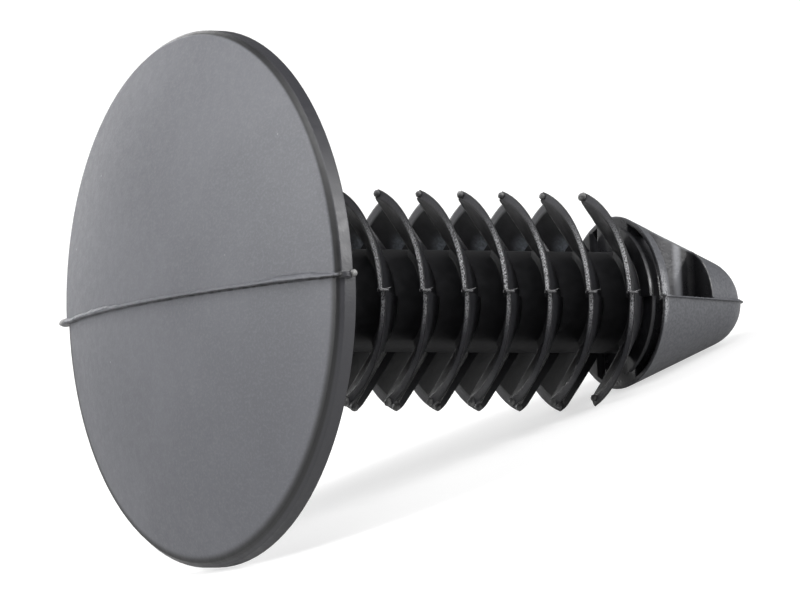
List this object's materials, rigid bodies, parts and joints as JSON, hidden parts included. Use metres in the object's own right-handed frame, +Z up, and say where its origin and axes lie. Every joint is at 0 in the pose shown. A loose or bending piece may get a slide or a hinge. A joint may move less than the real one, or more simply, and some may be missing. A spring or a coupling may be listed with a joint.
{
  "type": "panel retainer clip",
  "caption": "Push-in panel retainer clip with a crowned round head, swept split fins along a round stem and a cored pointed tip.",
  "frame": {"origin": "centre of the part's box in plan, at the level it lies on", "axes": "+X from the head towards the tip along the table, +Z up; the stem slopes down from the head to the tip, and the parting plane holds the stem and +Y"},
  "size_m": [0.0326, 0.0256, 0.0237],
  "materials": {
    "black_nylon": "fine satin mould texture on the head, smoother on the stem"
  },
  "bodies": {
    "root": {"panel_clip": "black_nylon"}
  },
  "joints": []
}
